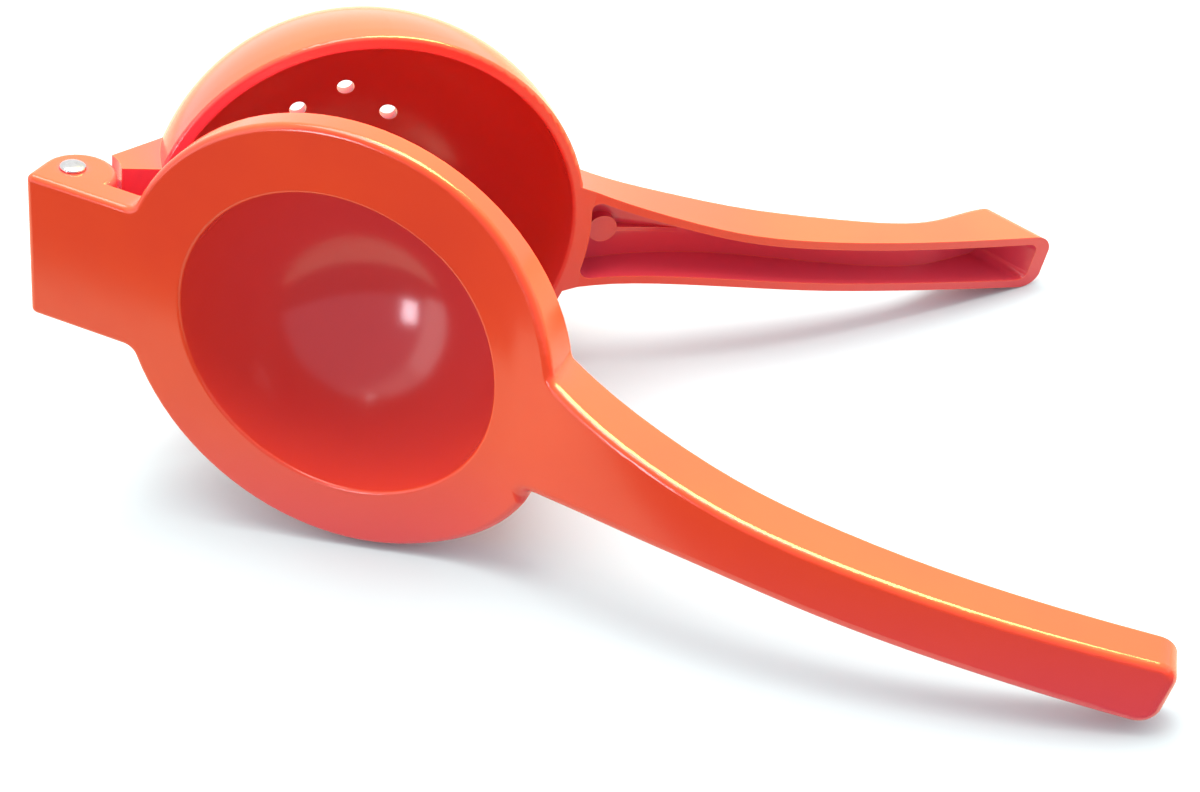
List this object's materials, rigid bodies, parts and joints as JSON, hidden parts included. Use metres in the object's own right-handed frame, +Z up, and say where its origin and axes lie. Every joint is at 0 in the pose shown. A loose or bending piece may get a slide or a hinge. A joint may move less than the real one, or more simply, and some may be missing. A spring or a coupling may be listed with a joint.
{
  "type": "hinged citrus squeezer",
  "caption": "Hinged hand press for citrus halves: a pierced round bowl lever and a hollow dished plunger lever on one pin, with long curved handles",
  "frame": {"origin": "Centre of the footprint on the table: middle of the overall box in X and Y, lowest point in Z", "axes": "+X runs from the hinge to the handle ends, midway between the two open levers. +Y points to the bowl's side, -Y to the press side. +Z is up from the table the squeezer lies on."},
  "size_m": [0.2352, 0.1662, 0.1007],
  "materials": {
    "enamel": "gloss",
    "pin_steel": "satin"
  },
  "bodies": {
    "cup": {"cup_lever": "enamel"},
    "press": {"press_lever": "enamel", "hinge_pin": "pin_steel"}
  },
  "joints": [
    {"name": "lever_hinge", "type": "hinge", "parent": "cup", "child": "press", "pos_m": [-0.10572, 0.01046, 0.06662], "axis": [-0.2619, 0, -0.9651], "range_deg": [-33.7, 141.3]}
  ]
}
